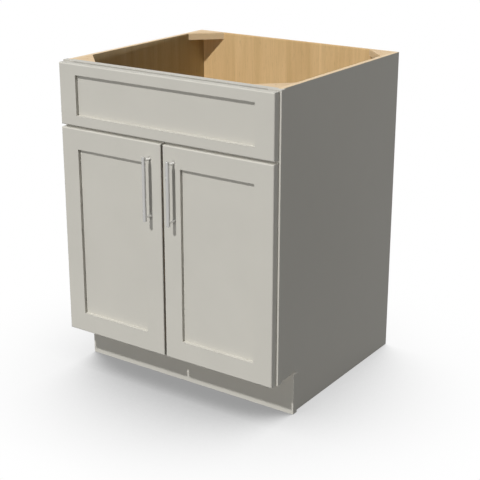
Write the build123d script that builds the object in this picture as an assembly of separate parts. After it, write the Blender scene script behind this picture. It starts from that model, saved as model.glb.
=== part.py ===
from build123d import *
import math
import os

# Sink base cabinet with a face frame, two full-overlay doors and a fixed false front.
# Millimetres. X runs across the front, Y from the front to the back, Z up from the floor.
# The origin is on the floor, in the middle of the whole part's width and depth, pulls included.

# Case
CABINET_WIDTH = 685.8
CABINET_HEIGHT = 876.3
CABINET_DEPTH = 609.6  # from the face frame's front to the outside of the back
SIDE_THICKNESS = 12.7
SIDE_INSET = 6.35  # the face frame and toe kick board overhang the side panels by this much
BACK_THICKNESS = 6.35
FLOOR_THICKNESS = 12.7
DADO_DEPTH = 4.8  # grooves in the sides that hold the floor and the back

# Face frame
FRAME_THICKNESS = 19.05
FRAME_STILE_WIDTH = 38.1
TOP_RAIL_WIDTH = 38.1
MIDDLE_RAIL_WIDTH = 38.1
BOTTOM_RAIL_WIDTH = 38.1
FRAME_GROOVE_DEPTH = 6.0  # the side panels' front edges sit in the stiles

# Toe space
TOE_HEIGHT = 114.3
TOE_RECESS = 76.2
TOE_BOARD_THICKNESS = 18.0
TOE_SUPPORT_THICKNESS = 12.7

# Corner braces, each with a hole for a countertop screw
BRACE_LEG = 76.2
BRACE_THICKNESS = 19.05
BRACE_HOLE_DIAMETER = 5.0
BRACE_HOLE_INSET = 26.0

# Doors and false front
FRONT_THICKNESS = 20.6
FRONT_GAP = 2.4  # kept by the bumpers and spacers
SIDE_REVEAL = 4.8
TOP_REVEAL = 3.2
BOTTOM_REVEAL = 0.8
DOOR_GAP = 6.35
ROW_GAP = 7.6
FALSE_FRONT_HEIGHT = 166.2
FRONT_STILE_WIDTH = 55.6
DOOR_RAIL_WIDTH = 55.6
FALSE_RAIL_WIDTH = 28.6
PANEL_THICKNESS = 6.35
PANEL_RECESS = 9.5
GROOVE_DEPTH = 9.5
PANEL_PLAY = 1.5  # room for the panel to swell
EDGE_ROUND = 3.0  # on the outer edges of the face

# Bumpers, spacers and the false front's screws
BUMPER_DIAMETER = 9.5
BUMPER_INSET = 12.0
BUMPER_ROUND = 0.9
SPACER_DIAMETER = 12.0
FALSE_SCREW_INSET = 150.0  # from the false front's ends
FALSE_SCREW_BITE = 12.0
WOOD_SCREW_DIAMETER = 4.0
WOOD_SCREW_HEAD = 8.0
WOOD_SCREW_HEAD_HEIGHT = 2.4
SCREW_CLEARANCE = 0.1

# Bar pulls
BAR_DIAMETER = 10.0
BAR_OVERHANG = 9.5
BAR_STANDOFF = 25.4  # door face to the bar's axis
BAR_END_ROUND = 1.0
POST_DIAMETER = 6.4
POST_SEAT = 3.0  # the posts sit this deep in the bar
PULL_SPACING = 152.4
PULL_INSET = 35.0  # from the door's meeting edge
PULL_DROP = 42.5  # upper post below the door's top
PULL_SCREW_DIAMETER = 4.0
PULL_SCREW_HEAD = 8.0
PULL_SCREW_HEAD_HEIGHT = 2.2
PULL_SCREW_BITE = 12.0

# Concealed hinges. Plan points are (w, v): w into the opening from the face stile's inner edge,
# v ahead of the face frame. Cup points are (along, deep) from the cup's centre at the door's back.
HINGE_END_DISTANCE = 90.0
CUP_DIAMETER = 35.0
CUP_DEPTH = 13.5
CUP_CENTRE_W = -11.0
CUP_FLOOR = 0.8
CUP_FLANGE_RADIUS = 20.5
CUP_FLANGE_THICKNESS = 1.2
CUP_EAR_RADIUS = 5.5
CUP_SCREW_SPACING = 45.0
CUP_SCREW_OFFSET = 9.5
CUP_SCREW_DIAMETER = 3.5
CUP_SCREW_HEAD = 6.6
CUP_SCREW_LENGTH = 14.0
POCKET_HALF_LENGTH = 15.5
POCKET_NARROW_HALF_LENGTH = 16.1
FLANGE_WINDOW_HALF_LENGTH = 18.0
PIN_DIAMETER = 2.5
PIN_CLEARANCE = 0.05
PIN_SEAT = 2.5
INNER_LINK_HEIGHT = 7.0
LINK_SIDE_CLEARANCE = 0.4
LINK_PLATE = 1.5
LINK_BAR_WIDTH = 2.4
LINK_EYE_RADIUS = 2.6
OUTER_ARM_PIVOT = (3.75, -15.0)
OUTER_BEND = (1.8, 9.75)
OUTER_CUP_PIVOT = (-11.6, 3.3)
INNER_ARM_PIVOT = (14.4, -5.9)
INNER_BEND = (-12.7, 11.2)
INNER_CUP_PIVOT = (-7.9, 6.7)
INNER_SLOT = (-0.7, 2.45)  # run of the slot that lets the inner link's cup pin wander
INNER_SLOT_CLEARANCE = 0.6
INNER_SLOT_WALL = 1.0
ARM_PLATE = 1.5
ARM_BOSS_RADIUS = 3.4
ARM_EAR_THICKNESS = 1.8
ARM_EAR_REACH = 16.0
ARM_FOOT_FRONT = -3.0
ARM_FOOT_BACK = -17.0
ARM_SCREW_DIAMETER = 3.5
ARM_SCREW_HEAD = 7.0
ARM_SCREW_HEAD_HEIGHT = 2.0
ARM_SCREW_LENGTH = 15.0

# Planes and places that follow from the sizes above
AHEAD_OF_FRAME = FRONT_GAP + FRONT_THICKNESS + BAR_STANDOFF + BAR_DIAMETER / 2
FRAME_Y = (AHEAD_OF_FRAME - CABINET_DEPTH) / 2
FRAME_BACK_Y = FRAME_Y + FRAME_THICKNESS
REAR_Y = FRAME_Y + CABINET_DEPTH
BACK_PANEL_Y = REAR_Y - BACK_THICKNESS
DOOR_BACK_Y = FRAME_Y - FRONT_GAP
DOOR_FACE_Y = DOOR_BACK_Y - FRONT_THICKNESS
TOE_FACE_Y = FRAME_Y + TOE_RECESS
NOTCH_Y = TOE_FACE_Y + TOE_BOARD_THICKNESS
HALF_WIDTH = CABINET_WIDTH / 2
SIDE_OUTER_X = HALF_WIDTH - SIDE_INSET
SIDE_INNER_X = SIDE_OUTER_X - SIDE_THICKNESS
STILE_INNER_X = HALF_WIDTH - FRAME_STILE_WIDTH
FRONT_HALF_WIDTH = HALF_WIDTH - SIDE_REVEAL
FALSE_TOP_Z = CABINET_HEIGHT - TOP_REVEAL
FALSE_BOTTOM_Z = FALSE_TOP_Z - FALSE_FRONT_HEIGHT
DOOR_TOP_Z = FALSE_BOTTOM_Z - ROW_GAP
DOOR_BOTTOM_Z = TOE_HEIGHT + BOTTOM_REVEAL
MIDDLE_RAIL_Z = (FALSE_BOTTOM_Z + DOOR_TOP_Z) / 2 - MIDDLE_RAIL_WIDTH / 2
MIDDLE_RAIL_TOP_Z = MIDDLE_RAIL_Z + MIDDLE_RAIL_WIDTH
TOP_RAIL_Z = CABINET_HEIGHT - TOP_RAIL_WIDTH
FLOOR_TOP_Z = TOE_HEIGHT + BOTTOM_RAIL_WIDTH
FLOOR_BOTTOM_Z = FLOOR_TOP_Z - FLOOR_THICKNESS
BAR_AXIS_Y = DOOR_FACE_Y - BAR_STANDOFF
PULL_X = -DOOR_GAP / 2 - PULL_INSET
PULL_TOP_Z = DOOR_TOP_Z - PULL_DROP
PULL_POST_ZS = (PULL_TOP_Z, PULL_TOP_Z - PULL_SPACING)
HINGE_ZS = (DOOR_BOTTOM_Z + HINGE_END_DISTANCE, DOOR_TOP_Z - HINGE_END_DISTANCE)
OUTER_LINK_Z = INNER_LINK_HEIGHT / 2 + LINK_SIDE_CLEARANCE
POCKET_HALF_HEIGHT = OUTER_LINK_Z + LINK_PLATE + LINK_SIDE_CLEARANCE
ARM_OUTER_Z = POCKET_HALF_HEIGHT + ARM_PLATE
PIN_RADIUS = PIN_DIAMETER / 2


def block(x0, x1, y0, y1, z0, z1):
    """A box between two opposite corners."""
    return Pos((x0 + x1) / 2, (y0 + y1) / 2, (z0 + z1) / 2) * Box(x1 - x0, y1 - y0, z1 - z0)


def rod_x(x0, x1, y, z, diameter):
    """A round rod along X."""
    return Pos((x0 + x1) / 2, y, z) * Rot(0, 90, 0) * Cylinder(diameter / 2, x1 - x0)


def rod_y(x, y0, y1, z, diameter):
    """A round rod along Y."""
    return Pos(x, (y0 + y1) / 2, z) * Rot(90, 0, 0) * Cylinder(diameter / 2, y1 - y0)


def rod_z(point, z0, z1, diameter):
    """A round rod along Z at a plan point."""
    return Pos(point[0], point[1], (z0 + z1) / 2) * Cylinder(diameter / 2, z1 - z0)


def prism_z(sketch, z0, z1):
    """A plan outline raised between two heights."""
    return Pos(0, 0, z0) * extrude(sketch, z1 - z0)


def front_plate(sketch, y0, y1):
    """An outline drawn in X and Z, given thickness from y0 back to y1."""
    return Pos(0, y1, 0) * Rot(90, 0, 0) * extrude(sketch, y1 - y0)


def group(solids):
    """Separate solids kept together in one node."""
    return Compound(children=list(solids))


def mirrored(shape):
    """The matching piece on the right-hand side, as separate solids."""
    flipped = [mirror(solid, about=Plane.YZ) for solid in shape.solids()]
    return flipped[0] if len(flipped) == 1 else group(flipped)


def side_panel():
    """Left side panel with its toe notch, floor dado and back rabbet."""
    front_y = FRAME_BACK_Y - FRAME_GROOVE_DEPTH
    panel = block(-SIDE_OUTER_X, -SIDE_INNER_X, front_y, REAR_Y, 0, CABINET_HEIGHT)
    groove_x = -SIDE_INNER_X - DADO_DEPTH
    panel -= block(-SIDE_OUTER_X, -SIDE_INNER_X, FRAME_Y, NOTCH_Y, 0, TOE_HEIGHT)
    panel -= block(groove_x, -SIDE_INNER_X, FRAME_BACK_Y, BACK_PANEL_Y, FLOOR_BOTTOM_Z, FLOOR_TOP_Z)
    panel -= block(groove_x, -SIDE_INNER_X, BACK_PANEL_Y, REAR_Y, 0, CABINET_HEIGHT)
    return panel


def floor_panel():
    """Floor of the cabinet, let into both sides."""
    reach = SIDE_INNER_X + DADO_DEPTH
    return block(-reach, reach, FRAME_BACK_Y, BACK_PANEL_Y, FLOOR_BOTTOM_Z, FLOOR_TOP_Z)


def back_panel():
    """Full-height back in the sides' rabbets."""
    reach = SIDE_INNER_X + DADO_DEPTH
    return block(-reach, reach, BACK_PANEL_Y, REAR_Y, 0, CABINET_HEIGHT)


def face_stile():
    """Left stile of the face frame, grooved at the back for the side panel."""
    stile = block(-HALF_WIDTH, -STILE_INNER_X, FRAME_Y, FRAME_BACK_Y, TOE_HEIGHT, CABINET_HEIGHT)
    groove_y = FRAME_BACK_Y - FRAME_GROOVE_DEPTH
    stile -= block(-SIDE_OUTER_X, -SIDE_INNER_X, groove_y, FRAME_BACK_Y, TOE_HEIGHT, CABINET_HEIGHT)
    for z in HINGE_ZS:
        for hole in arm_screw_shanks(z, SCREW_CLEARANCE):
            stile -= hole
    return stile


def face_rail(z0, z1):
    """A rail of the face frame between the stiles."""
    return block(-STILE_INNER_X, STILE_INNER_X, FRAME_Y, FRAME_BACK_Y, z0, z1)


def corner_brace(side, wall_y, inward):
    """A triangular brace in a top corner, with its countertop screw hole."""
    corner_x = side * SIDE_INNER_X
    along_x = corner_x - side * BRACE_LEG
    along_y = wall_y + inward * BRACE_LEG
    outline = make_face(Polyline((corner_x, wall_y), (along_x, wall_y), (corner_x, along_y), close=True))
    brace = prism_z(outline, CABINET_HEIGHT - BRACE_THICKNESS, CABINET_HEIGHT)
    hole = (corner_x - side * BRACE_HOLE_INSET, wall_y + inward * BRACE_HOLE_INSET)
    return brace - rod_z(hole, CABINET_HEIGHT - BRACE_THICKNESS, CABINET_HEIGHT, BRACE_HOLE_DIAMETER)


def eased(piece, x=None, zs=()):
    """Round a front's outer edges on its face: at one side and at the ends given."""
    tolerance = 1e-3
    edges = []
    for edge in piece.edges():
        spot = edge.center()
        if abs(spot.Y - DOOR_FACE_Y) > tolerance:
            continue
        if x is not None and abs(spot.X - x) < tolerance:
            edges.append(edge)
        if any(abs(spot.Z - z) < tolerance for z in zs):
            edges.append(edge)
    return fillet(edges, EDGE_ROUND)


def front_stile(x_outer, x_inner, z0, z1):
    """A stile of a door or of the false front, grooved along its inner edge."""
    x0, x1 = sorted((x_outer, x_inner))
    stile = eased(block(x0, x1, DOOR_FACE_Y, DOOR_BACK_Y, z0, z1), x_outer, (z0, z1))
    depth = GROOVE_DEPTH if x_outer > x_inner else -GROOVE_DEPTH
    g0, g1 = sorted((x_inner, x_inner + depth))
    groove_y = DOOR_FACE_Y + PANEL_RECESS
    return stile - block(g0, g1, groove_y, groove_y + PANEL_THICKNESS, z0, z1)


def front_rail(x0, x1, z_outer, z_inner):
    """A rail with a tongue at each end and a groove along its inner edge."""
    z0, z1 = sorted((z_outer, z_inner))
    rail = eased(block(x0, x1, DOOR_FACE_Y, DOOR_BACK_Y, z0, z1), zs=(z_outer,))
    tongue_y = DOOR_FACE_Y + PANEL_RECESS
    tongue_end = tongue_y + PANEL_THICKNESS
    rail += block(x0 - GROOVE_DEPTH, x1 + GROOVE_DEPTH, tongue_y, tongue_end, z0, z1)
    depth = GROOVE_DEPTH if z_outer > z_inner else -GROOVE_DEPTH
    g0, g1 = sorted((z_inner, z_inner + depth))
    return rail - block(x0 - GROOVE_DEPTH, x1 + GROOVE_DEPTH, tongue_y, tongue_end, g0, g1)


def front_panel(x0, x1, z0, z1):
    """The flat panel that floats in the grooves round an opening and stands on the lower one."""
    reach = GROOVE_DEPTH - PANEL_PLAY
    y0 = DOOR_FACE_Y + PANEL_RECESS
    return block(x0 - reach, x1 + reach, y0, y0 + PANEL_THICKNESS, z0 - GROOVE_DEPTH, z1 + reach)


def framed_front(x0, x1, z0, z1, rail_width):
    """The five pieces of a frame-and-panel front: two stiles, two rails and a panel."""
    inner_x0 = x0 + FRONT_STILE_WIDTH
    inner_x1 = x1 - FRONT_STILE_WIDTH
    inner_z0 = z0 + rail_width
    inner_z1 = z1 - rail_width
    return {
        "left_stile": front_stile(x0, inner_x0, z0, z1),
        "right_stile": front_stile(x1, inner_x1, z0, z1),
        "top_rail": front_rail(inner_x0, inner_x1, z1, inner_z1),
        "bottom_rail": front_rail(inner_x0, inner_x1, z0, inner_z0),
        "panel": front_panel(inner_x0, inner_x1, inner_z0, inner_z1),
    }


def false_front_screw_places():
    """X and Z of the screws: two in the top face rail and two in the middle one."""
    reach = FRONT_HALF_WIDTH - FALSE_SCREW_INSET
    high = FALSE_TOP_Z - FALSE_RAIL_WIDTH / 2
    low = (FALSE_BOTTOM_Z + MIDDLE_RAIL_TOP_Z) / 2
    return [(x, z) for x in (-reach, reach) for z in (low, high)]


def false_screw_shank(x, z, extra=0.0):
    """Shank of a false front screw, or with extra its hole."""
    tip_y = DOOR_BACK_Y - FALSE_SCREW_BITE
    return rod_y(x, tip_y, FRAME_BACK_Y, z, WOOD_SCREW_DIAMETER + 2 * extra)


def false_front_screw(x, z):
    """A pan-head screw from inside the face frame into the false front."""
    head = rod_y(x, FRAME_BACK_Y, FRAME_BACK_Y + WOOD_SCREW_HEAD_HEIGHT, z, WOOD_SCREW_HEAD)
    return false_screw_shank(x, z) + head


def false_front_spacer(x, z):
    """A ring between the face frame and the false front, round a screw."""
    return rod_y(x, DOOR_BACK_Y, FRAME_Y, z, SPACER_DIAMETER) - false_screw_shank(x, z, SCREW_CLEARANCE)


def drilled_for_false_front(piece):
    """A rail with the false front's screw holes through it."""
    for x, z in false_front_screw_places():
        piece -= false_screw_shank(x, z, SCREW_CLEARANCE)
    return piece


def pull_bar():
    """Left pull's bar, with rounded ends and a socket for each post."""
    z0 = PULL_POST_ZS[1] - BAR_OVERHANG
    z1 = PULL_POST_ZS[0] + BAR_OVERHANG
    bar = rod_z((PULL_X, BAR_AXIS_Y), z0, z1, BAR_DIAMETER)
    bar = fillet(bar.edges().filter_by(GeomType.CIRCLE), BAR_END_ROUND)
    for z in PULL_POST_ZS:
        bar -= pull_post_blank(z, SCREW_CLEARANCE)
    return bar


def pull_post_blank(z, extra=0.0):
    """A post without its screw hole, or with extra its socket in the bar."""
    seat_y = BAR_AXIS_Y + BAR_DIAMETER / 2 - POST_SEAT
    return rod_y(PULL_X, seat_y, DOOR_FACE_Y, z, POST_DIAMETER + 2 * extra)


def pull_screw_shank(z, extra=0.0):
    """Shank of a pull screw, or with extra its hole."""
    return rod_y(PULL_X, DOOR_FACE_Y - PULL_SCREW_BITE, DOOR_BACK_Y, z, PULL_SCREW_DIAMETER + 2 * extra)


def pull_screw(z):
    """A screw from the door's back into a post."""
    head = rod_y(PULL_X, DOOR_BACK_Y, DOOR_BACK_Y + PULL_SCREW_HEAD_HEIGHT, z, PULL_SCREW_HEAD)
    return pull_screw_shank(z) + head


def door_bumpers():
    """Soft buttons at the meeting edge, where the door lands on the rails."""
    x = -DOOR_GAP / 2 - BUMPER_INSET
    high = (DOOR_TOP_Z + MIDDLE_RAIL_Z) / 2
    low = (DOOR_BOTTOM_Z + FLOOR_TOP_Z) / 2
    discs = [rod_y(x, DOOR_BACK_Y, FRAME_Y, z, BUMPER_DIAMETER) for z in (low, high)]
    rims = [disc.edges().filter_by(GeomType.CIRCLE).sort_by(Axis.Y)[-1] for disc in discs]
    return group(fillet(rim, BUMPER_ROUND) for rim in rims)


def plan(point):
    """Left hinge plan point (w, v) in X and Y."""
    return (point[0] - STILE_INNER_X, FRAME_Y - point[1])


def cup_plan(point):
    """Left hinge cup point (along, deep) in X and Y."""
    return plan((CUP_CENTRE_W + point[0], FRONT_GAP + point[1]))


def plan_bar(points, width):
    """Plan outline of a flat bar along a bent line, with round ends and corners."""
    bars = []
    for (x0, y0), (x1, y1) in zip(points, points[1:]):
        length = math.hypot(x1 - x0, y1 - y0)
        turn = math.degrees(math.atan2(y1 - y0, x1 - x0))
        middle = Pos((x0 + x1) / 2, (y0 + y1) / 2)
        bars.append(middle * Rot(0, 0, turn) * SlotCenterToCenter(length, width))
    return Sketch() + bars


def eye(point, radius):
    """Plan outline of a round eye."""
    return Pos(*point) * Circle(radius)


def outer_links(z):
    """The two side plates of a hinge's outer link."""
    start = plan(OUTER_ARM_PIVOT)
    end = cup_plan(OUTER_CUP_PIVOT)
    outline = plan_bar([start, plan(OUTER_BEND), end], LINK_BAR_WIDTH)
    outline += [eye(start, LINK_EYE_RADIUS), eye(end, LINK_EYE_RADIUS)]
    outline -= [eye(start, PIN_RADIUS + PIN_CLEARANCE), eye(end, PIN_RADIUS + PIN_CLEARANCE)]
    low = z - OUTER_LINK_Z - LINK_PLATE
    high = z + OUTER_LINK_Z
    return [prism_z(outline, z0, z0 + LINK_PLATE) for z0 in (low, high)]


def inner_link(z):
    """A hinge's inner link, with a slot at the cup end."""
    start = plan(INNER_ARM_PIVOT)
    pin = cup_plan(INNER_CUP_PIVOT)
    slot_end = cup_plan((INNER_CUP_PIVOT[0] + INNER_SLOT[0], INNER_CUP_PIVOT[1] + INNER_SLOT[1]))
    slot_width = PIN_DIAMETER + 2 * INNER_SLOT_CLEARANCE
    outline = plan_bar([start, plan(INNER_BEND), slot_end], LINK_BAR_WIDTH)
    outline += eye(start, LINK_EYE_RADIUS)
    outline += plan_bar([pin, slot_end], slot_width + 2 * INNER_SLOT_WALL)
    outline -= eye(start, PIN_RADIUS + PIN_CLEARANCE)
    outline -= plan_bar([pin, slot_end], slot_width)
    return prism_z(outline, z - INNER_LINK_HEIGHT / 2, z + INNER_LINK_HEIGHT / 2)


def cup_pins(z):
    """Pins in the cup: a stub each side for the outer link, one right across for the inner link."""
    reach = POCKET_HALF_HEIGHT + PIN_SEAT
    inner = rod_z(cup_plan(INNER_CUP_PIVOT), z - reach, z + reach, PIN_DIAMETER)
    stub = cup_plan(OUTER_CUP_PIVOT)
    low = rod_z(stub, z - reach, z - OUTER_LINK_Z, PIN_DIAMETER)
    high = rod_z(stub, z + OUTER_LINK_Z, z + reach, PIN_DIAMETER)
    return [inner, low, high]


def arm_pins(z):
    """Pins in the arm's cheeks, placed as in the cup."""
    inner = rod_z(plan(INNER_ARM_PIVOT), z - ARM_OUTER_Z, z + ARM_OUTER_Z, PIN_DIAMETER)
    stub = plan(OUTER_ARM_PIVOT)
    low = rod_z(stub, z - ARM_OUTER_Z, z - OUTER_LINK_Z, PIN_DIAMETER)
    high = rod_z(stub, z + OUTER_LINK_Z, z + ARM_OUTER_Z, PIN_DIAMETER)
    return [inner, low, high]


def cup_screw(x, z, extra=0.0):
    """A flush screw in a cup's ear, or with extra its hole."""
    shank_radius = CUP_SCREW_DIAMETER / 2 + extra
    head_radius = CUP_SCREW_HEAD / 2 + extra
    taper = head_radius - shank_radius
    outline = Polyline(
        (0, 0),
        (head_radius, 0),
        (shank_radius, taper),
        (shank_radius, CUP_SCREW_LENGTH),
        (0, CUP_SCREW_LENGTH),
        close=True,
    )
    screw = revolve(make_face(outline), Axis.Y)
    return Pos(x, DOOR_BACK_Y + CUP_FLANGE_THICKNESS, z) * Rot(180, 0, 0) * screw


def cup_screw_places(z):
    """X and Z of the two screws beside a cup."""
    x = plan((CUP_CENTRE_W + CUP_SCREW_OFFSET, 0))[0]
    return [(x, z - CUP_SCREW_SPACING / 2), (x, z + CUP_SCREW_SPACING / 2)]


def hinge_cup(z):
    """A hinge's cup: a flanged body with a pocket for the links and seats for the pins."""
    x = plan((CUP_CENTRE_W, 0))[0]
    body = rod_y(x, DOOR_BACK_Y - CUP_DEPTH, DOOR_BACK_Y, z, CUP_DIAMETER)
    ears = [Pos(*place) * Circle(CUP_EAR_RADIUS) for place in cup_screw_places(z)]
    outline = make_hull((Sketch() + [Pos(x, z) * Circle(CUP_FLANGE_RADIUS)] + ears).edges())
    flange_y = DOOR_BACK_Y + CUP_FLANGE_THICKNESS
    cup = body + front_plate(outline, DOOR_BACK_Y, flange_y)
    pocket_y = DOOR_BACK_Y - CUP_DEPTH + CUP_FLOOR
    wide, narrow = POCKET_HALF_LENGTH, POCKET_NARROW_HALF_LENGTH
    high, low = POCKET_HALF_HEIGHT, OUTER_LINK_Z
    cup -= block(x - wide, x + wide, pocket_y, flange_y, z - high, z + high)
    cup -= block(x - narrow, x + narrow, pocket_y, flange_y, z - low, z + low)
    window = FLANGE_WINDOW_HALF_LENGTH
    cup -= block(x - window, x + window, DOOR_BACK_Y, flange_y, z - high, z + high)
    for pin in cup_pins(z):
        cup -= pin
    for place in cup_screw_places(z):
        cup -= cup_screw(*place, SCREW_CLEARANCE)
    return cup


def arm_screw_places(z):
    """Y and Z of the two screws in an arm's ears."""
    y = FRAME_Y - (ARM_FOOT_FRONT + ARM_FOOT_BACK) / 2
    reach = ARM_OUTER_Z + ARM_EAR_REACH / 2
    return [(y, z - reach), (y, z + reach)]


def arm_screw_shanks(z, extra=0.0):
    """Shanks of an arm's screws in the face stile, or with extra their holes."""
    x1 = ARM_EAR_THICKNESS - STILE_INNER_X
    places = arm_screw_places(z)
    return [rod_x(x1 - ARM_SCREW_LENGTH, x1, y, sz, ARM_SCREW_DIAMETER + 2 * extra) for y, sz in places]


def arm_screws(z):
    """Pan-head screws through an arm's ears into the edge of the face stile."""
    x1 = ARM_EAR_THICKNESS - STILE_INNER_X
    heads = [rod_x(x1, x1 + ARM_SCREW_HEAD_HEIGHT, y, sz, ARM_SCREW_HEAD) for y, sz in arm_screw_places(z)]
    return [shank + head for shank, head in zip(arm_screw_shanks(z), heads)]


def hinge_arm(z):
    """A hinge's arm: two cheeks that carry the pins, an ear outside each cheek and a web behind."""
    bosses = [eye(plan(OUTER_ARM_PIVOT), ARM_BOSS_RADIUS), eye(plan(INNER_ARM_PIVOT), ARM_BOSS_RADIUS)]
    foot_x0 = -STILE_INNER_X
    foot_x1 = foot_x0 + ARM_EAR_THICKNESS
    foot_y0 = FRAME_Y - ARM_FOOT_FRONT
    foot_y1 = FRAME_Y - ARM_FOOT_BACK
    foot_middle = Pos((foot_x0 + foot_x1) / 2, (foot_y0 + foot_y1) / 2)
    foot = foot_middle * Rectangle(foot_x1 - foot_x0, foot_y1 - foot_y0)
    hull = make_hull((Sketch() + bosses + foot).edges())
    beside_stile = Pos(foot_x0 + CABINET_WIDTH / 2, FRAME_Y) * Rectangle(CABINET_WIDTH, CABINET_WIDTH)
    cheek = hull & beside_stile
    arm = Part()
    for side in (-1, 1):
        z0, z1 = sorted((z + side * POCKET_HALF_HEIGHT, z + side * ARM_OUTER_Z))
        arm += prism_z(cheek, z0, z1)
        e0, e1 = sorted((z + side * POCKET_HALF_HEIGHT, z + side * (ARM_OUTER_Z + ARM_EAR_REACH)))
        arm += block(foot_x0, foot_x1, foot_y0, foot_y1, e0, e1)
    pivot_x, pivot_y = plan(OUTER_ARM_PIVOT)
    web_y = pivot_y + ARM_BOSS_RADIUS - ARM_PLATE / 2
    web_x1 = plan(INNER_ARM_PIVOT)[0]
    arm += block(pivot_x, web_x1, web_y, web_y + ARM_PLATE, z - ARM_OUTER_Z, z + ARM_OUTER_Z)
    for pin in arm_pins(z):
        arm -= pin
    for shank in arm_screw_shanks(z, SCREW_CLEARANCE):
        arm -= shank
    return arm


def left_door():
    """Pieces of the left door, with its pull, bumpers and hinge halves."""
    front = framed_front(-FRONT_HALF_WIDTH, -DOOR_GAP / 2, DOOR_BOTTOM_Z, DOOR_TOP_Z, DOOR_RAIL_WIDTH)
    hinge_stile = front["left_stile"]
    latch_stile = front["right_stile"]
    for z in HINGE_ZS:
        x = plan((CUP_CENTRE_W, 0))[0]
        hinge_stile -= rod_y(x, DOOR_BACK_Y - CUP_DEPTH, DOOR_BACK_Y, z, CUP_DIAMETER + 2 * SCREW_CLEARANCE)
        for place in cup_screw_places(z):
            hinge_stile -= cup_screw(*place, SCREW_CLEARANCE)
    posts = []
    for z in PULL_POST_ZS:
        latch_stile -= pull_screw_shank(z, SCREW_CLEARANCE)
        posts.append(pull_post_blank(z) - pull_screw_shank(z, SCREW_CLEARANCE))
    return {
        "door_hinge_stile": hinge_stile,
        "door_latch_stile": latch_stile,
        "door_top_rail": front["top_rail"],
        "door_bottom_rail": front["bottom_rail"],
        "door_panel": front["panel"],
        "door_bumpers": door_bumpers(),
        "pull_bar": pull_bar(),
        "pull_posts": group(posts),
        "pull_screws": group(pull_screw(z) for z in PULL_POST_ZS),
    }


def left_hinges():
    """Pieces of the left door's two hinges, a node for each kind of piece."""
    return {
        "hinge_cups": group(hinge_cup(z) for z in HINGE_ZS),
        "hinge_cup_pins": group(pin for z in HINGE_ZS for pin in cup_pins(z)),
        "hinge_cup_screws": group(cup_screw(*place) for z in HINGE_ZS for place in cup_screw_places(z)),
        "hinge_outer_links": group(link for z in HINGE_ZS for link in outer_links(z)),
        "hinge_inner_links": group(inner_link(z) for z in HINGE_ZS),
        "hinge_arms": group(hinge_arm(z) for z in HINGE_ZS),
        "hinge_arm_pins": group(pin for z in HINGE_ZS for pin in arm_pins(z)),
        "hinge_arm_screws": group(screw for z in HINGE_ZS for screw in arm_screws(z)),
    }


def case():
    """Pieces of the box, its face frame, toe kick and corner braces."""
    left_panel = side_panel()
    left_stile = face_stile()
    support_back_y = NOTCH_Y + TOE_SUPPORT_THICKNESS
    nodes = {
        "left_side_panel": left_panel,
        "right_side_panel": mirrored(left_panel),
        "floor_panel": floor_panel(),
        "back_panel": back_panel(),
        "left_face_stile": left_stile,
        "right_face_stile": mirrored(left_stile),
        "top_face_rail": drilled_for_false_front(face_rail(TOP_RAIL_Z, CABINET_HEIGHT)),
        "middle_face_rail": drilled_for_false_front(face_rail(MIDDLE_RAIL_Z, MIDDLE_RAIL_TOP_Z)),
        "bottom_face_rail": face_rail(TOE_HEIGHT, FLOOR_TOP_Z),
        "toe_kick_board": block(-HALF_WIDTH, HALF_WIDTH, TOE_FACE_Y, NOTCH_Y, 0, TOE_HEIGHT),
        "toe_kick_support": block(-SIDE_INNER_X, SIDE_INNER_X, NOTCH_Y, support_back_y, 0, FLOOR_BOTTOM_Z),
    }
    for side, side_name in ((-1, "left"), (1, "right")):
        nodes[f"front_{side_name}_corner_brace"] = corner_brace(side, FRAME_BACK_Y, 1)
        nodes[f"back_{side_name}_corner_brace"] = corner_brace(side, BACK_PANEL_Y, -1)
    return nodes


def false_front():
    """Pieces of the fixed false front and what holds it."""
    front = framed_front(-FRONT_HALF_WIDTH, FRONT_HALF_WIDTH, FALSE_BOTTOM_Z, FALSE_TOP_Z, FALSE_RAIL_WIDTH)
    front["top_rail"] = drilled_for_false_front(front["top_rail"])
    front["bottom_rail"] = drilled_for_false_front(front["bottom_rail"])
    nodes = {f"false_front_{name}": piece for name, piece in front.items()}
    places = false_front_screw_places()
    nodes["false_front_spacers"] = group(false_front_spacer(*place) for place in places)
    nodes["false_front_screws"] = group(false_front_screw(*place) for place in places)
    return nodes


def all_nodes():
    """Every named node of the cabinet."""
    nodes = case()
    nodes.update(false_front())
    for name, piece in {**left_door(), **left_hinges()}.items():
        nodes[f"left_{name}"] = piece
        nodes[f"right_{name}"] = mirrored(piece)
    return nodes


os.makedirs("parts", exist_ok=True)
for name, piece in all_nodes().items():
    export_step(piece, f"parts/{name}.step")
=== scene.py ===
import math
from collections import namedtuple

import bpy
from mathutils import Matrix, Vector


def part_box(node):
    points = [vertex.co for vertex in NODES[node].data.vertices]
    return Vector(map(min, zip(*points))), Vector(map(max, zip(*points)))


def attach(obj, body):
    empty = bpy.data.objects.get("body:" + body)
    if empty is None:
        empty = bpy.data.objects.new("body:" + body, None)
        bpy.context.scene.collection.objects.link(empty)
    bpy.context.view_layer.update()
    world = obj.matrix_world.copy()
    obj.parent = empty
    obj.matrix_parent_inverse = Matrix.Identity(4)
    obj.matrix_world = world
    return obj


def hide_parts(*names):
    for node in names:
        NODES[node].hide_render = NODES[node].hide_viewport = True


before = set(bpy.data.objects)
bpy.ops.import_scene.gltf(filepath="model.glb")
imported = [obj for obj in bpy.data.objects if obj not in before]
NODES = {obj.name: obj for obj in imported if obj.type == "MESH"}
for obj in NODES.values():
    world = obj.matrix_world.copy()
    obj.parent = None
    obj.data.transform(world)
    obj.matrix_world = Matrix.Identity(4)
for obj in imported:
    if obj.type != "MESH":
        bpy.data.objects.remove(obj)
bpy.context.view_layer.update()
SIDES = ("left", "right")
AXES = {"x": 0, "y": 1, "z": 2}

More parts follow.
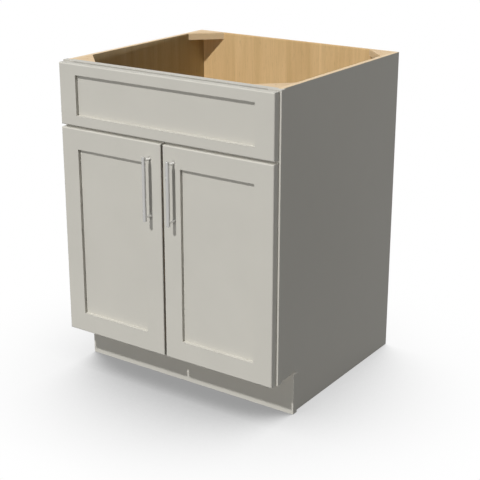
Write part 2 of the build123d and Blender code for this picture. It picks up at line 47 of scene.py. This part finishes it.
# Colours, linear. Lengths in this file are metres.
PAINT = (0.545, 0.528, 0.476)
MAPLE_LIGHT = (0.830, 0.590, 0.307)
MAPLE_DARK = (0.667, 0.452, 0.215)
# Maple of the side panels' inner faces, darkened and greyed with painted shade
SIDE_PAINTED_SHADE_LIGHT = (0.560, 0.455, 0.270)
SIDE_PAINTED_SHADE_DARK = (0.450, 0.345, 0.185)
PLY_LIGHT = (0.840, 0.660, 0.420)
PLY_DARK = (0.690, 0.500, 0.290)
BRACE_LIGHT = (0.760, 0.560, 0.330)
BRACE_DARK = (0.650, 0.450, 0.240)
NICKEL = (0.520, 0.514, 0.500)
# The pull posts' nickel, lighter than the bar's same metal: a painted highlight
POST_NICKEL_PAINTED_HIGHLIGHT = (0.920, 0.912, 0.895)
PLATED_STEEL = (0.610, 0.605, 0.595)
ZINC = (0.640, 0.635, 0.610)
RUBBER = (0.780, 0.780, 0.760)

# Shares of a colour in its darker and lighter places
PAINT_DARKER = 0.98
PAINT_LIGHTER = 1.015
# Share of the paint's colour for the shade painted into the fronts' narrow creases
CREASE_PAINTED_SHADE = 0.12
STREAK_SHADE = 0.82
FLECK_SHADE = 0.66
WORN_SHADE = 0.70
BRUSH_SHADE = 0.93
RUBBER_SHADE = 0.95

# Noise: cells in a metre, and how far it is drawn out along the grain
PAINT_CLOUD_SCALE = 7.0
PEEL_SCALE = 620.0
FIGURE_SCALE = 16.0
FIBRE_SCALE = 520.0
FLECK_SCALE = 900.0
GRIT_SCALE = 480.0
BRUSH_SCALE = 2600.0
METAL_CLOUD_SCALE = 60.0
RUBBER_CLOUD_SCALE = 300.0
EVEN = (1.0, 1.0, 1.0)
FIGURE_STRETCH = 0.07
FIBRE_STRETCH = 0.012
FLECK_STRETCH = 0.045
BRUSH_STRETCH = 0.02

# Ranges that noise is read over, and ranges that it is mapped to
FULL = (0.0, 1.0)
MIDDLE = (0.30, 0.70)
WIDE_MIDDLE = (0.25, 0.75)
FIGURE_SPAN = (0.32, 0.68)
FIBRE_SPAN = (0.35, 0.75)
FLECK_SPAN = (0.66, 0.74)
PLY_SPAN = (-0.25, 0.25)
STREAK_AMOUNT = (0.0, 0.42)
FLECK_AMOUNT = (0.0, 0.50)
WORN_AMOUNT = (0.0, 0.30)
PAINT_ROUGHNESS = (0.46, 0.54)
MAPLE_ROUGHNESS = (0.40, 0.52)
NICKEL_ROUGHNESS = (0.20, 0.28)
TURNED_ROUGHNESS = (0.16, 0.24)
STEEL_ROUGHNESS = (0.26, 0.36)
ZINC_ROUGHNESS = (0.32, 0.44)
RUBBER_ROUGHNESS = (0.22, 0.34)

# Depth of the bump in each finish
PEEL_DEPTH = 0.00003
GRAIN_DEPTH = 0.00004
BRUSH_DEPTH = 0.00001
TURNED_DEPTH = 0.000005
RUBBER_DEPTH = 0.00002

SATIN_SPECULAR = 0.25
BAR_METALLIC = 0.4
POST_METALLIC = 0.3
RUBBER_CLEARNESS = 0.45
RUBBER_IOR = 1.49
# Reach, samples and facing limit of the ambient occlusion behind the painted crease shade
CREASE_REACH = 0.005
CREASE_SAMPLES = 12
CREASE_LIMIT = 0.5
SQUARE_LIMIT = 0.7
PLY_COUNT = 9
PANEL_THICKNESS = 0.0127
PAINT_SKIN = 0.0005
EDGE_WIDTH = 0.0005
EDGE_SEGMENTS = 2
EDGE_ANGLE = math.radians(40)


def tint(colour, share):
    return tuple(share * c for c in colour)


def along(grain, share):
    """The scale of a noise that is drawn out along one axis."""
    return tuple(share if axis == AXES[grain] else 1.0 for axis in range(3))


class Tree:
    """A material's node tree with one Principled shader at its end."""

    def __init__(self, name):
        self.material = bpy.data.materials.new(name)
        self.material.use_nodes = True
        self.nodes = self.material.node_tree.nodes
        self.links = self.material.node_tree.links
        self.shader = next(n for n in self.nodes if n.type == "BSDF_PRINCIPLED")
        self.place = self.add("ShaderNodeTexCoord").outputs["Object"]
        self.xyz = self.split(self.place)

    def add(self, kind, **settings):
        node = self.nodes.new(kind)
        for key, value in settings.items():
            setattr(node, key, value)
        return node

    def join(self, source, target):
        """Link a socket, or set a plain value or colour on the target."""
        if isinstance(source, bpy.types.NodeSocket):
            self.links.new(source, target)
        elif isinstance(source, tuple):
            target.default_value = (*source, 1.0)
        else:
            target.default_value = source

    def split(self, vector):
        node = self.add("ShaderNodeSeparateXYZ")
        self.join(vector, node.inputs[0])
        return node.outputs

    def normal(self):
        """The three parts of the face's own normal."""
        return self.split(self.add("ShaderNodeNewGeometry").outputs["True Normal"])

    def maths(self, operation, first, second=0.0):
        node = self.add("ShaderNodeMath", operation=operation)
        self.join(first, node.inputs[0])
        self.join(second, node.inputs[1])
        return node.outputs[0]

    def noise(self, stretch, scale, detail=2.0, roughness=0.5, distortion=0.0):
        """Noise over the part's own coordinates, stretched per axis."""
        mapping = self.add("ShaderNodeMapping")
        self.join(self.place, mapping.inputs["Vector"])
        mapping.inputs["Scale"].default_value = stretch
        node = self.add("ShaderNodeTexNoise")
        self.join(mapping.outputs[0], node.inputs["Vector"])
        node.inputs["Scale"].default_value = scale
        node.inputs["Detail"].default_value = detail
        node.inputs["Roughness"].default_value = roughness
        node.inputs["Distortion"].default_value = distortion
        return node.outputs[0]

    def spread(self, value, span, target):
        """Map a range of values to another, clamped."""
        node = self.add("ShaderNodeMapRange")
        self.join(value, node.inputs[0])
        for index, number in enumerate((*span, *target), 1):
            node.inputs[index].default_value = number
        return node.outputs[0]

    def mix(self, factor, first, second):
        """Blend two colours."""
        node = self.add("ShaderNodeMix", data_type="RGBA")
        for source, index in ((factor, 0), (first, 6), (second, 7)):
            self.join(source, node.inputs[index])
        return node.outputs[2]

    def blend(self, factor, first, second):
        """Blend two numbers."""
        node = self.add("ShaderNodeMix", data_type="FLOAT")
        for source, index in ((factor, 0), (first, 2), (second, 3)):
            self.join(source, node.inputs[index])
        return node.outputs[0]

    def finish(self, colour, roughness, height, depth, **sockets):
        """Wire the shader: colour, roughness and a bump of the given depth."""
        self.join(colour, self.shader.inputs["Base Color"])
        self.join(roughness, self.shader.inputs["Roughness"])
        bump = self.add("ShaderNodeBump")
        bump.inputs["Strength"].default_value = 1.0
        bump.inputs["Distance"].default_value = depth
        self.join(height, bump.inputs["Height"])
        self.join(bump.outputs[0], self.shader.inputs["Normal"])
        for key, value in sockets.items():
            self.shader.inputs[key.replace("_", " ")].default_value = value
        return self.material


def paint_sockets(tree):
    """Sprayed satin paint: faint clouding and a fine orange peel."""
    cloud = tree.noise(EVEN, PAINT_CLOUD_SCALE, detail=3.0)
    peel = tree.noise(EVEN, PEEL_SCALE)
    darker = tint(PAINT, PAINT_DARKER)
    lighter = tint(PAINT, PAINT_LIGHTER)
    colour = tree.mix(tree.spread(cloud, MIDDLE, FULL), darker, lighter)
    roughness = tree.spread(cloud, WIDE_MIDDLE, PAINT_ROUGHNESS)
    return colour, roughness, peel


def maple_sockets(tree, grain, light, dark):
    """Maple veneer: broad figure, fine fibres and short dark flecks along the grain."""
    figure = tree.noise(
        along(grain, FIGURE_STRETCH), FIGURE_SCALE, detail=4.0, roughness=0.55, distortion=0.9
    )
    fibre = tree.noise(along(grain, FIBRE_STRETCH), FIBRE_SCALE, roughness=0.6)
    fleck = tree.noise(along(grain, FLECK_STRETCH), FLECK_SCALE, detail=1.0)
    base = tree.mix(tree.spread(figure, FIGURE_SPAN, FULL), light, dark)
    streak = tree.spread(fibre, FIBRE_SPAN, STREAK_AMOUNT)
    streaked = tree.mix(streak, base, tint(dark, STREAK_SHADE))
    spot = tree.spread(fleck, FLECK_SPAN, FLECK_AMOUNT)
    colour = tree.mix(spot, streaked, tint(dark, FLECK_SHADE))
    roughness = tree.spread(fibre, MIDDLE, MAPLE_ROUGHNESS)
    return colour, roughness, fibre


def ply_edge_colour(tree, across, start):
    """Stripes of the plies on a cut edge."""
    depth = tree.maths("SUBTRACT", tree.maths("ABSOLUTE", tree.xyz[AXES[across]]), start)
    turns = tree.maths("MULTIPLY", depth, math.pi * PLY_COUNT / PANEL_THICKNESS)
    stripe = tree.spread(tree.maths("SINE", turns), PLY_SPAN, FULL)
    grit = tree.noise(EVEN, GRIT_SCALE, detail=3.0)
    wear = tree.spread(grit, MIDDLE, WORN_AMOUNT)
    worn = tree.mix(wear, PLY_DARK, tint(PLY_DARK, WORN_SHADE))
    return tree.mix(stripe, worn, PLY_LIGHT)


def facing(tree, axis):
    """1 on faces square to an axis of the part, 0 on the others."""
    share = tree.maths("ABSOLUTE", tree.normal()[AXES[axis]])
    return tree.maths("GREATER_THAN", share, SQUARE_LIMIT)


def painted_crease_shade(tree):
    """Painted shade: how deep in a narrow crease a point is, by ambient occlusion, from 0 to 1. Faces
    that look back or up count as open.
    """
    shade = tree.add("ShaderNodeAmbientOcclusion", samples=CREASE_SAMPLES)
    shade.inputs["Distance"].default_value = CREASE_REACH
    closed = tree.maths("SUBTRACT", 1.0, shade.outputs["AO"])
    normal = tree.normal()
    for axis in ("y", "z"):
        counts = tree.maths("LESS_THAN", normal[AXES[axis]], CREASE_LIMIT)
        closed = tree.maths("MULTIPLY", closed, counts)
    return closed


def paint_material(name, painted_shade=False):
    """Satin paint, optionally with shade painted into its colour in narrow corners."""
    tree = Tree(name)
    colour, roughness, height = paint_sockets(tree)
    if painted_shade:
        # Painted shade: the colour darkens in narrow creases, by ambient occlusion.
        colour = tree.mix(painted_crease_shade(tree), colour, tint(PAINT, CREASE_PAINTED_SHADE))
    return tree.finish(colour, roughness, height, PEEL_DEPTH, Specular_IOR_Level=SATIN_SPECULAR)


def plywood_material(
    name, grain, across, start, light=MAPLE_LIGHT, dark=MAPLE_DARK, painted_from=None
):
    """Veneered plywood. across is the axis of its thickness, start where that begins, and
    painted_from where its painted face begins."""
    tree = Tree(name)
    veneer, roughness, height = maple_sockets(tree, grain, light, dark)
    if painted_from is not None:
        paint, paint_roughness, peel = paint_sockets(tree)
        reach = tree.maths("ABSOLUTE", tree.xyz[AXES[across]])
        outside = tree.maths("GREATER_THAN", reach, painted_from)
        veneer = tree.mix(outside, veneer, paint)
        roughness = tree.blend(outside, roughness, paint_roughness)
        height = tree.blend(outside, height, peel)
    face = facing(tree, across)
    colour = tree.mix(face, ply_edge_colour(tree, across, start), veneer)
    return tree.finish(colour, roughness, height, GRAIN_DEPTH, Specular_IOR_Level=SATIN_SPECULAR)


def metal_material(name, colour, grain, rough, depth, metallic=1.0):
    """Metal with fine brush lines along one axis. Below 1, metallic is the share of bare metal
    under a satin coat."""
    tree = Tree(name)
    brush = tree.noise(along(grain, BRUSH_STRETCH), BRUSH_SCALE, roughness=0.6)
    cloud = tree.noise(EVEN, METAL_CLOUD_SCALE)
    tone = tree.mix(tree.spread(brush, MIDDLE, FULL), tint(colour, BRUSH_SHADE), colour)
    roughness = tree.spread(cloud, MIDDLE, rough)
    return tree.finish(tone, roughness, brush, depth, Metallic=metallic)


def rubber_material():
    tree = Tree("clear_rubber")
    cloud = tree.noise(EVEN, RUBBER_CLOUD_SCALE)
    colour = tree.mix(tree.spread(cloud, MIDDLE, FULL), RUBBER, tint(RUBBER, RUBBER_SHADE))
    roughness = tree.spread(cloud, MIDDLE, RUBBER_ROUGHNESS)
    return tree.finish(
        colour, roughness, cloud, RUBBER_DEPTH, Transmission_Weight=RUBBER_CLEARNESS, IOR=RUBBER_IOR
    )


def dress(material, *names):
    for name in names:
        slots = NODES[name].data.materials
        slots.clear()
        slots.append(material)


def both(*pieces):
    return [f"{side}_{piece}" for side in SIDES for piece in pieces]


def soften(*names):
    """Break sharp edges of box-like pieces, for a thin highlight."""
    for name in names:
        modifier = NODES[name].modifiers.new("edge", "BEVEL")
        modifier.width = EDGE_WIDTH
        modifier.segments = EDGE_SEGMENTS
        modifier.limit_method = "ANGLE"
        modifier.angle_limit = EDGE_ANGLE
        modifier.harden_normals = True


def box_start(node, axis):
    """The distance along an axis from the origin to the near face of a node."""
    low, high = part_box(node)
    return min(abs(low[AXES[axis]]), abs(high[AXES[axis]]))


DOOR_WOOD = both("door_hinge_stile", "door_latch_stile", "door_top_rail", "door_bottom_rail")
FALSE_WOOD = [f"false_front_{p}" for p in ("left_stile", "right_stile", "top_rail", "bottom_rail")]
PANELS = [*both("door_panel"), "false_front_panel"]
FRAME_WOOD = [*both("face_stile"), "middle_face_rail", "bottom_face_rail"]
BRACES = [f"{end}_{side}_corner_brace" for end in ("front", "back") for side in SIDES]
PLYWOOD = [*both("side_panel"), "back_panel", "floor_panel", "toe_kick_support"]

dress(paint_material("satin_paint"), *PANELS, *FRAME_WOOD, "toe_kick_board")
# The fronts' paint has shade painted into its narrow creases.
dress(paint_material("front_paint_painted_shade", painted_shade=True), *DOOR_WOOD, *FALSE_WOOD, "top_face_rail")

side_low, side_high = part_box("right_side_panel")
# The side panels' veneer is maple with painted shade: darker and greyer than the back's.
side_ply_painted_shade = plywood_material(
    "side_plywood_painted_shade", "z", "x", side_low.x, SIDE_PAINTED_SHADE_LIGHT, SIDE_PAINTED_SHADE_DARK, side_high.x - PAINT_SKIN
)
dress(side_ply_painted_shade, *both("side_panel"))
back_ply = plywood_material("back_plywood", "z", "y", box_start("back_panel", "y"))
dress(back_ply, "back_panel")
floor_ply = plywood_material("floor_plywood", "x", "z", box_start("floor_panel", "z"))
dress(floor_ply, "floor_panel")
support_ply = plywood_material("support_plywood", "x", "y", box_start("toe_kick_support", "y"))
dress(support_ply, "toe_kick_support")
brace_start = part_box(BRACES[0])[0].z
brace_ply = plywood_material("brace_plywood", "x", "z", brace_start, BRACE_LIGHT, BRACE_DARK)
dress(brace_ply, *BRACES)

nickel = metal_material("brushed_nickel", NICKEL, "z", NICKEL_ROUGHNESS, BRUSH_DEPTH, BAR_METALLIC)
dress(nickel, *both("pull_bar"))
# The posts carry a painted highlight: the bar's nickel made lighter.
post_highlight_nickel = metal_material(
    "post_nickel_painted_highlight", POST_NICKEL_PAINTED_HIGHLIGHT, "y", TURNED_ROUGHNESS, TURNED_DEPTH, POST_METALLIC
)
dress(post_highlight_nickel, *both("pull_posts"))
steel = metal_material("plated_steel", PLATED_STEEL, "x", STEEL_ROUGHNESS, BRUSH_DEPTH)
dress(steel, *both("hinge_cups", "hinge_cup_pins", "hinge_outer_links", "hinge_inner_links"))
dress(steel, *both("hinge_arms", "hinge_arm_pins"))
dress(rubber_material(), *both("door_bumpers"), "false_front_spacers")

soften(*DOOR_WOOD, *FALSE_WOOD, *PANELS, *FRAME_WOOD, "top_face_rail")
soften(*BRACES, *PLYWOOD, "toe_kick_board")

# Screws with a cross recess and a cut thread, in place of the plain ones. head and shank are
# radii. A flush head is flat on top and tapers to its shank, and the others are domed.
Screw = namedtuple("Screw", "head height shank length thread pitch flush pointed")
PULL_SCREW = Screw(
    head=0.0040, height=0.0022, shank=0.0020, length=0.0326,
    thread=0.0170, pitch=0.0007, flush=False, pointed=False,
)
CUP_SCREW = Screw(
    head=0.0033, height=0.0016, shank=0.00175, length=0.0124,
    thread=0.0110, pitch=0.0014, flush=True, pointed=True,
)
ARM_SCREW = Screw(
    head=0.0035, height=0.0020, shank=0.00175, length=0.0150,
    thread=0.0125, pitch=0.0014, flush=False, pointed=True,
)
FALSE_SCREW = Screw(
    head=0.0040, height=0.0024, shank=0.0020, length=0.03345,
    thread=0.0220, pitch=0.0018, flush=False, pointed=True,
)
CUP_SCREW_SPACING = 0.0450
ARM_SCREW_SPACING = 0.0306
FLUSH_RIM = -0.00005
COLUMNS = 32
ROWS_PER_TURN = 6
HEAD_RINGS = 11
SHARP_ANGLE = math.radians(38)
RIDGE_SLOPE = 2.6
CROWN_POWER = 2.6

# In shank radii
CORE_SHARE = 0.74
PLAIN_SHARE = 0.92
TIP_SHARE = 0.08
POINT_LENGTH = 3.2

# In head radii
RIM_SHARE = 0.985
RECESS_HALF_WIDTH = 0.17
RECESS_REACH = 0.60
RECESS_SLOPE = 0.13

# In head heights
CROWN_SHARE = 0.6
RECESS_DEPTH = 0.62


def ring(radius_at, height_at):
    """One turn of points. Both arguments are functions of the angle."""
    angles = [2 * math.pi * i / COLUMNS for i in range(COLUMNS)]
    return [(radius_at(a) * math.cos(a), radius_at(a) * math.sin(a), height_at(a)) for a in angles]


def plain_ring(radius, height):
    return ring(lambda angle: radius, lambda angle: height)


def thread_ring(screw, tip, rise):
    """A ring of the thread, rise above the tip: a sharp ridge that winds round the core."""
    grown = 1.0
    if screw.pointed:
        grown = min(1.0, TIP_SHARE + rise / (POINT_LENGTH * screw.shank))

    def radius(angle):
        phase = (rise / screw.pitch - angle / (2 * math.pi)) % 1.0
        ridge = max(0.0, 1.0 - RIDGE_SLOPE * abs(phase - 0.5))
        return screw.shank * grown * (CORE_SHARE + (1.0 - CORE_SHARE) * ridge)

    return ring(radius, lambda angle: tip + rise)


def recess(screw, x, y):
    """How deep the cross recess is at a point of the head."""
    wide = RECESS_HALF_WIDTH * screw.head
    reach = RECESS_REACH * screw.head
    slope = RECESS_SLOPE * screw.head
    arms = [min(wide - abs(u), reach - abs(v)) / slope for u, v in ((x, y), (y, x))]
    return RECESS_DEPTH * screw.height * max(0.0, min(1.0, max(arms)))


def head_ring(screw, share):
    """A ring of the head's top, share of the way from its middle to its rim."""
    radius = share * screw.head
    crown = 0.0 if screw.flush else -CROWN_SHARE * screw.height * share ** CROWN_POWER

    def height(angle):
        return crown - recess(screw, radius * math.cos(angle), radius * math.sin(angle))

    return ring(lambda angle: radius, height)


def screw_rings(screw):
    """Rings of a screw from its tip to the middle of its head, whose top is at 0."""
    under = -screw.height
    tip = under - screw.length
    step = screw.pitch / ROWS_PER_TURN
    rings = [thread_ring(screw, tip, i * step) for i in range(int(screw.thread / step))]
    plain = PLAIN_SHARE * screw.shank
    rings += [plain_ring(plain, tip + screw.thread), plain_ring(plain, under)]
    rings += [plain_ring(RIM_SHARE * screw.head, FLUSH_RIM if screw.flush else under)]
    return rings + [head_ring(screw, i / HEAD_RINGS) for i in range(HEAD_RINGS, 0, -1)]


def make_screws(node, body, screw, towards, places):
    """One piece for a group of like screws. Each place is the middle of a head's top."""
    turn = Vector(towards).to_track_quat("Z", "Y")
    points = []
    faces = []
    rings = screw_rings(screw)
    for place in places:
        start = len(points)
        points += [Vector(place) + turn @ Vector(point) for one in rings for point in one]
        first = [start + i for i in range(COLUMNS)]
        last = [start + (len(rings) - 1) * COLUMNS + i for i in range(COLUMNS)]
        faces += [tuple(reversed(first)), tuple(last)]
        for row in range(len(rings) - 1):
            for i in range(COLUMNS):
                a = start + row * COLUMNS + i
                b = start + row * COLUMNS + (i + 1) % COLUMNS
                faces.append((a, b, b + COLUMNS, a + COLUMNS))
    mesh = bpy.data.meshes.new(f"{node}_cut")
    mesh.from_pydata(points, [], faces)
    mesh.shade_smooth()
    mesh.set_sharp_from_angle(angle=SHARP_ANGLE)
    mesh.materials.append(zinc)
    piece = bpy.data.objects.new(f"{node}_cut", mesh)
    bpy.context.scene.collection.objects.link(piece)
    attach(piece, body)
    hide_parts(node)


def rows_of_heads(low, high, radius, spacing=None):
    """Heads at both ends of a group's height, and with spacing one more beside each."""
    bottom = low.z + radius
    top = high.z - radius
    return [bottom, top] if spacing is None else [bottom, bottom + spacing, top - spacing, top]


def make_side_screws(side):
    door = f"{side}_door"
    low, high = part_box(f"{side}_pull_screws")
    heights = rows_of_heads(low, high, PULL_SCREW.head)
    places = [((low.x + high.x) / 2, high.y, z) for z in heights]
    make_screws(f"{side}_pull_screws", door, PULL_SCREW, (0, 1, 0), places)
    low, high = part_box(f"{side}_hinge_cup_screws")
    heights = rows_of_heads(low, high, CUP_SCREW.head, CUP_SCREW_SPACING)
    places = [((low.x + high.x) / 2, high.y, z) for z in heights]
    make_screws(f"{side}_hinge_cup_screws", door, CUP_SCREW, (0, 1, 0), places)
    low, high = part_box(f"{side}_hinge_arm_screws")
    heights = rows_of_heads(low, high, ARM_SCREW.head, ARM_SCREW_SPACING)
    inward, head_x = (1, high.x) if side == "left" else (-1, low.x)
    places = [(head_x, (low.y + high.y) / 2, z) for z in heights]
    make_screws(f"{side}_hinge_arm_screws", "cabinet", ARM_SCREW, (inward, 0, 0), places)


def make_false_front_screws():
    low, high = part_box("false_front_screws")
    columns = (low.x + FALSE_SCREW.head, high.x - FALSE_SCREW.head)
    heights = rows_of_heads(low, high, FALSE_SCREW.head)
    places = [(x, high.y, z) for x in columns for z in heights]
    make_screws("false_front_screws", "cabinet", FALSE_SCREW, (0, 1, 0), places)


zinc = metal_material("zinc_plate", ZINC, "y", ZINC_ROUGHNESS, BRUSH_DEPTH)
for side in SIDES:
    make_side_screws(side)
make_false_front_screws()

# Floor, world, light and camera. A lamp is far away, softness degrees across.
FLOOR_SIZE = 40.0
FLOOR_BOUNCE = 0.19
AMBIENT = 0.10
# The floor's shadow is painted by ambient occlusion, not cast by the lamps
SHADOW_REACH = 0.55
SHADOW_SAMPLES = 24
SHADOW_FALL = 1.9
SHADOW_DEPTH = 1.14
SHADOW_MOST = 0.68
SHADOW_BLEND = 0.15
SHADOW_LEAN = (-0.14, 0.36, 1.0)
KEY_TOWARDS = (0.0, -1.0, 1.056)
Lamp = namedtuple("Lamp", "name towards strength softness shadow")
LAMPS = (
    Lamp("key", KEY_TOWARDS, strength=2.52, softness=2.2, shadow=True),
    Lamp("fill", KEY_TOWARDS, strength=0.42, softness=1.5, shadow=False),
    Lamp("front", (0.0, -1.0, 0.006), strength=0.48, softness=0.4, shadow=True),
    Lamp("top", (0.0, 0.0, 1.0), strength=0.57, softness=4.0, shadow=False),
    Lamp("right", (0.8, 0.6, 0.02), strength=0.44, softness=1.5, shadow=True),
    Lamp("left", (-0.8, 0.6, 0.02), strength=0.44, softness=1.5, shadow=True),
)
CAMERA_PLACE = (1.7374, -2.4840, 1.4299)
CAMERA_YAW = math.radians(34.423)
CAMERA_PITCH = math.radians(18.307)
CAMERA_ROLL = math.radians(0.114)
CAMERA_LENS = 85.49
CAMERA_SENSOR = 36.0
CAMERA_SHIFT_Y = -0.049


def seen_directly(nodes, links):
    """1 for camera, glossy and transmission rays, which see the pale backdrop."""
    path = nodes.new("ShaderNodeLightPath")
    total = path.outputs["Is Camera Ray"]
    for name in ("Is Glossy Ray", "Is Transmission Ray"):
        node = nodes.new("ShaderNodeMath")
        node.operation = "MAXIMUM"
        links.new(total, node.inputs[0])
        links.new(path.outputs[name], node.inputs[1])
        total = node.outputs[0]
    return total


def floor_level(nodes, links):
    """How bright the floor looks: white, with a shadow near the object painted by ambient occlusion."""
    shade = nodes.new("ShaderNodeAmbientOcclusion")
    shade.samples = SHADOW_SAMPLES
    shade.inputs["Distance"].default_value = SHADOW_REACH
    lean = nodes.new("ShaderNodeCombineXYZ")
    for socket, value in zip(lean.inputs, Vector(SHADOW_LEAN).normalized()):
        socket.default_value = value
    links.new(lean.outputs[0], shade.inputs["Normal"])
    level = shade.outputs["AO"]
    for operation, first, second, third in (
        ("SUBTRACT", 1.0, None, 0.0),
        ("POWER", None, SHADOW_FALL, 0.0),
        ("MULTIPLY", None, SHADOW_DEPTH, 0.0),
        ("SMOOTH_MIN", None, SHADOW_MOST, SHADOW_BLEND),
        ("SUBTRACT", 1.0, None, 0.0),
    ):
        step = nodes.new("ShaderNodeMath")
        step.operation = operation
        for socket, value in zip(step.inputs, (first, second, third)):
            if value is None:
                links.new(level, socket)
            else:
                socket.default_value = value
        level = step.outputs[0]
    return level


def make_floor():
    half = FLOOR_SIZE / 2
    corners = [(-half, -half, 0), (half, -half, 0), (half, half, 0), (-half, half, 0)]
    mesh = bpy.data.meshes.new("studio_floor")
    mesh.from_pydata(corners, [], [(0, 1, 2, 3)])
    floor = bpy.data.objects.new("studio_floor", mesh)
    bpy.context.scene.collection.objects.link(floor)
    material = bpy.data.materials.new("studio_floor")
    material.use_nodes = True
    nodes = material.node_tree.nodes
    links = material.node_tree.links
    nodes.clear()
    bounce = nodes.new("ShaderNodeBsdfDiffuse")
    bounce.inputs["Color"].default_value = (FLOOR_BOUNCE, FLOOR_BOUNCE, FLOOR_BOUNCE, 1)
    glow = nodes.new("ShaderNodeEmission")
    links.new(floor_level(nodes, links), glow.inputs["Strength"])
    mix = nodes.new("ShaderNodeMixShader")
    links.new(seen_directly(nodes, links), mix.inputs[0])
    links.new(bounce.outputs[0], mix.inputs[1])
    links.new(glow.outputs[0], mix.inputs[2])
    links.new(mix.outputs[0], nodes.new("ShaderNodeOutputMaterial").inputs["Surface"])
    mesh.materials.append(material)


def make_world():
    world = bpy.data.worlds.new("studio")
    bpy.context.scene.world = world
    world.use_nodes = True
    nodes = world.node_tree.nodes
    links = world.node_tree.links
    nodes.clear()
    soft = nodes.new("ShaderNodeBackground")
    soft.inputs["Strength"].default_value = AMBIENT
    white = nodes.new("ShaderNodeBackground")
    white.inputs["Strength"].default_value = 1.0
    for node in (soft, white):
        node.inputs["Color"].default_value = (1, 1, 1, 1)
    mix = nodes.new("ShaderNodeMixShader")
    links.new(seen_directly(nodes, links), mix.inputs[0])
    links.new(soft.outputs[0], mix.inputs[1])
    links.new(white.outputs[0], mix.inputs[2])
    links.new(mix.outputs[0], nodes.new("ShaderNodeOutputWorld").inputs["Surface"])


def make_lamp(lamp):
    light = bpy.data.lights.new(lamp.name, "SUN")
    light.energy = lamp.strength
    light.angle = math.radians(lamp.softness)
    light.use_shadow = lamp.shadow
    holder = bpy.data.objects.new(lamp.name, light)
    bpy.context.scene.collection.objects.link(holder)
    holder.rotation_mode = "QUATERNION"
    holder.rotation_quaternion = Vector(lamp.towards).to_track_quat("Z", "Y")


def make_camera():
    data = bpy.data.cameras.new("camera")
    data.lens = CAMERA_LENS
    data.sensor_width = CAMERA_SENSOR
    data.shift_y = CAMERA_SHIFT_Y
    camera = bpy.data.objects.new("camera", data)
    bpy.context.scene.collection.objects.link(camera)
    flat = math.cos(CAMERA_PITCH)
    aside = -math.sin(CAMERA_YAW) * flat
    ahead = math.cos(CAMERA_YAW) * flat
    forward = Vector((aside, ahead, -math.sin(CAMERA_PITCH)))
    right = forward.cross(Vector((0, 0, 1))).normalized()
    up = right.cross(forward)
    turn = math.cos(CAMERA_ROLL)
    lean = math.sin(CAMERA_ROLL)
    axes = Matrix((turn * right + lean * up, turn * up - lean * right, -forward)).transposed()
    camera.matrix_world = Matrix.Translation(CAMERA_PLACE) @ axes.to_4x4()
    bpy.context.scene.camera = camera


make_floor()
make_world()
for lamp in LAMPS:
    make_lamp(lamp)
make_camera()
bpy.context.scene.view_settings.view_transform = "Standard"
